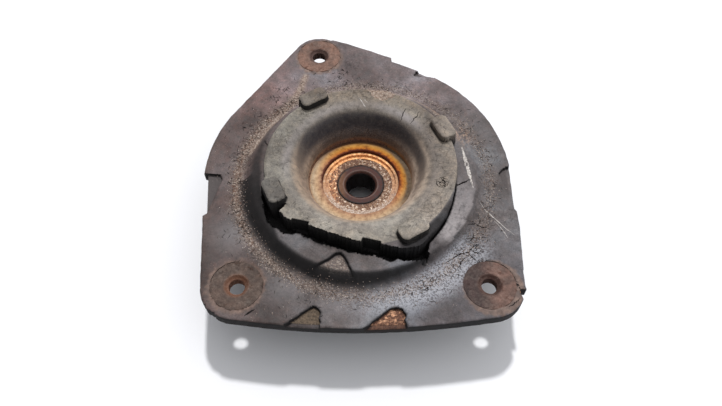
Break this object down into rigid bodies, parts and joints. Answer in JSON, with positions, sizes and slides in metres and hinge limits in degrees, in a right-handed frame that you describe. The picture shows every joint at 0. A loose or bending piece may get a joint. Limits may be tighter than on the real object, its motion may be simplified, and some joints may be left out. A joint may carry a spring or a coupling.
{
  "type": "upper spring mount",
  "caption": "Rubber-covered strut top mount: rounded three-cornered flange with threaded corner nuts, lugged spring ring, torn skirt and a rusty sealed ball bearing in a funnel.",
  "frame": {"origin": "centre of the ball bearing that carries the damper rod, on the strut axis", "axes": "+Z along the strut axis towards the spring, up as it lies; +Y towards the single back corner nut; +X to the right as seen from the front"},
  "size_m": [0.1478, 0.1709, 0.0431],
  "materials": {
    "rubber": "matte weathered rubber, cracked and dusty",
    "plate_steel": "rusted bare steel",
    "seat_steel": "steel stained orange with rust",
    "cup_steel": "black coated steel, scuffed and rusty at its edges",
    "nut_steel": "rust-brown bare steel",
    "inner_ring_steel": "dark stained bearing steel",
    "bearing_steel": "bearing steel with a rust film",
    "shield_steel": "pitted zinc-plated steel",
    "clip_steel": "rust-stained spring steel",
    "cage_steel": "greased pressed steel",
    "ball_steel": "polished bearing steel"
  },
  "bodies": {
    "mount": {"rubber_moulding": "rubber", "rubber_cushion": "rubber", "flange_plate": "plate_steel", "seat_cup": "seat_steel", "tower_cup": "cup_steel", "bearing_outer_ring": "bearing_steel", "shield_upper": "shield_steel", "shield_lower": "shield_steel", "retaining_ring": "clip_steel", "nut_back": "nut_steel", "nut_left": "nut_steel", "nut_right": "nut_steel"},
    "inner_ring": {"bearing_inner_ring": "inner_ring_steel"},
    "ball_set": {"ball_1": "ball_steel", "ball_2": "ball_steel", "ball_3": "ball_steel", "ball_4": "ball_steel", "ball_5": "ball_steel", "ball_6": "ball_steel", "ball_7": "ball_steel", "ball_8": "ball_steel", "cage_upper": "cage_steel", "cage_lower": "cage_steel", "cage_rivets": "cage_steel"}
  },
  "joints": [
    {"name": "inner_ring_spin", "type": "hinge", "parent": "mount", "child": "inner_ring", "pos_m": [0, 0, 0], "axis": [0, 0, 1], "continuous": true},
    {"name": "ball_set_orbit", "type": "hinge", "parent": "mount", "child": "ball_set", "pos_m": [0, 0, 0], "axis": [0, 0, 1], "continuous": true}
  ],
  "couplings": [
    {"joint": "ball_set_orbit", "follows": "inner_ring_spin", "ratio": 0.3806}
  ]
}
